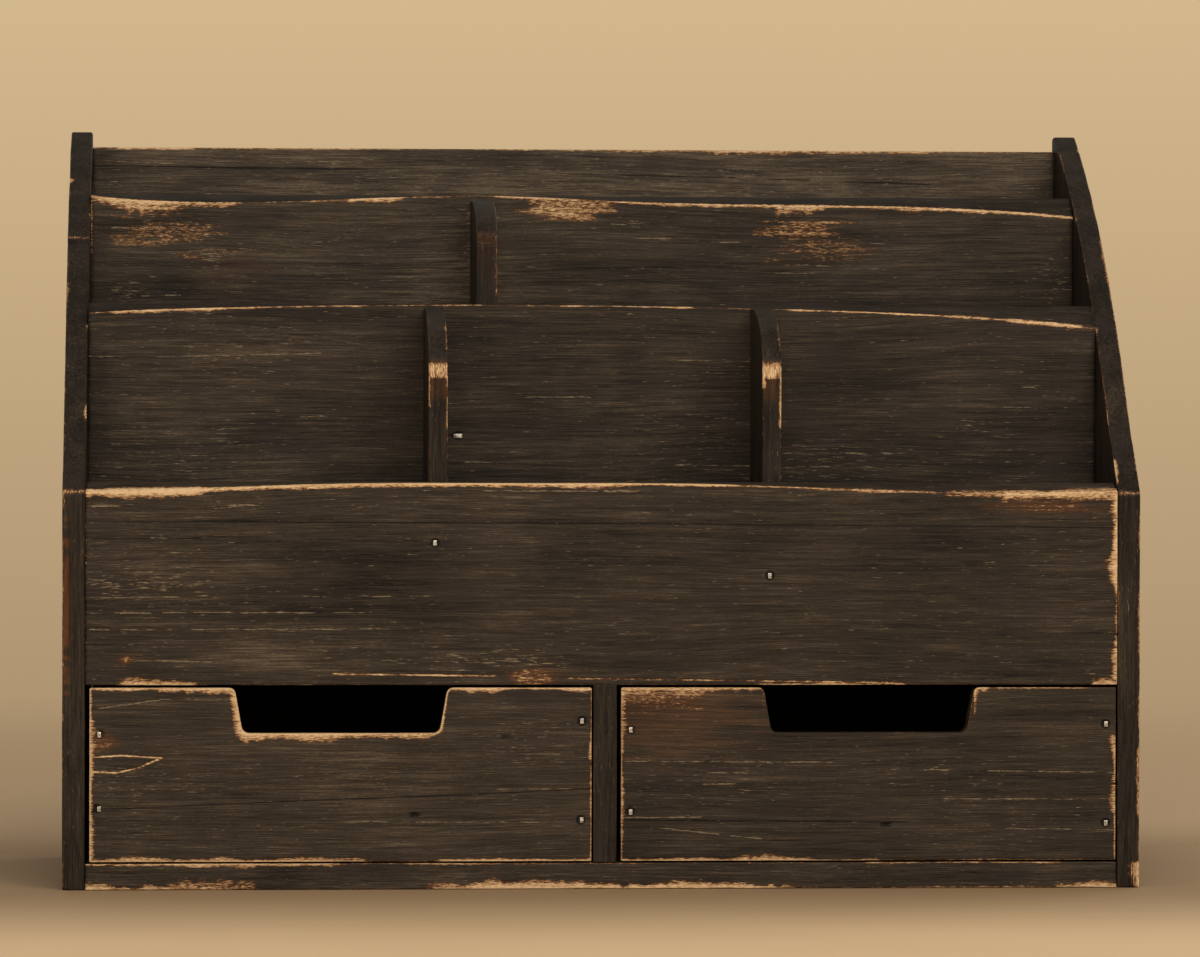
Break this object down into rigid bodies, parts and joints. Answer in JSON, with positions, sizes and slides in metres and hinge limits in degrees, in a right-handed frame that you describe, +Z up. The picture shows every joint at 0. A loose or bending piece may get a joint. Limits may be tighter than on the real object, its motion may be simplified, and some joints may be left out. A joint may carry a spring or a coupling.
{
  "type": "envelope sorter with drawers",
  "caption": "Desk-top wooden envelope sorter: stepped, divided letter pockets between swept sides, over drawers with flared finger notches.",
  "frame": {"origin": "middle of the footprint, on the surface that the sorter stands on", "axes": "+X to the right as seen from the front, +Y to the rear, +Z up"},
  "size_m": [0.4, 0.18, 0.287],
  "materials": {
    "stained_wood": "dark brown-black stain over softwood boards, thin satin wax, rubbed through to pale tan wood on arrises",
    "drawer_box_wood": "dark stain wiped thin over softwood, unpolished",
    "drawer_plywood": "dark stain wiped thin over thin plywood, unpolished",
    "brad_steel": "bare steel wire brads with small flat heads, set flush"
  },
  "bodies": {
    "case": {"back_panel": "stained_wood", "back_panel_brads": "brad_steel", "base_board": "stained_wood", "base_brads": "brad_steel", "drawer_bay_divider": "stained_wood", "front_panel": "stained_wood", "front_panel_brads": "brad_steel", "left_side_brads": "brad_steel", "left_side_panel": "stained_wood", "lower_divider_left": "stained_wood", "lower_divider_right": "stained_wood", "middle_board": "stained_wood", "middle_board_brads": "brad_steel", "pocket_floor": "stained_wood", "pocket_floor_brads": "brad_steel", "right_side_brads": "brad_steel", "right_side_panel": "stained_wood", "stray_brad": "brad_steel", "upper_board": "stained_wood", "upper_board_brads": "brad_steel", "upper_divider": "stained_wood"},
    "left_drawer": {"left_drawer_back": "drawer_box_wood", "left_drawer_bottom": "drawer_plywood", "left_drawer_bottom_brads": "brad_steel", "left_drawer_brads": "brad_steel", "left_drawer_front": "stained_wood", "left_drawer_left_side": "drawer_box_wood", "left_drawer_right_side": "drawer_box_wood"},
    "right_drawer": {"right_drawer_back": "drawer_box_wood", "right_drawer_bottom": "drawer_plywood", "right_drawer_bottom_brads": "brad_steel", "right_drawer_brads": "brad_steel", "right_drawer_front": "stained_wood", "right_drawer_left_side": "drawer_box_wood", "right_drawer_right_side": "drawer_box_wood"}
  },
  "joints": [
    {"name": "left_drawer_slide", "type": "slide", "parent": "case", "child": "left_drawer", "axis": [0, -1, 0], "range_m": [0, 0.125]},
    {"name": "right_drawer_slide", "type": "slide", "parent": "case", "child": "right_drawer", "axis": [0, -1, 0], "range_m": [0, 0.125]}
  ]
}
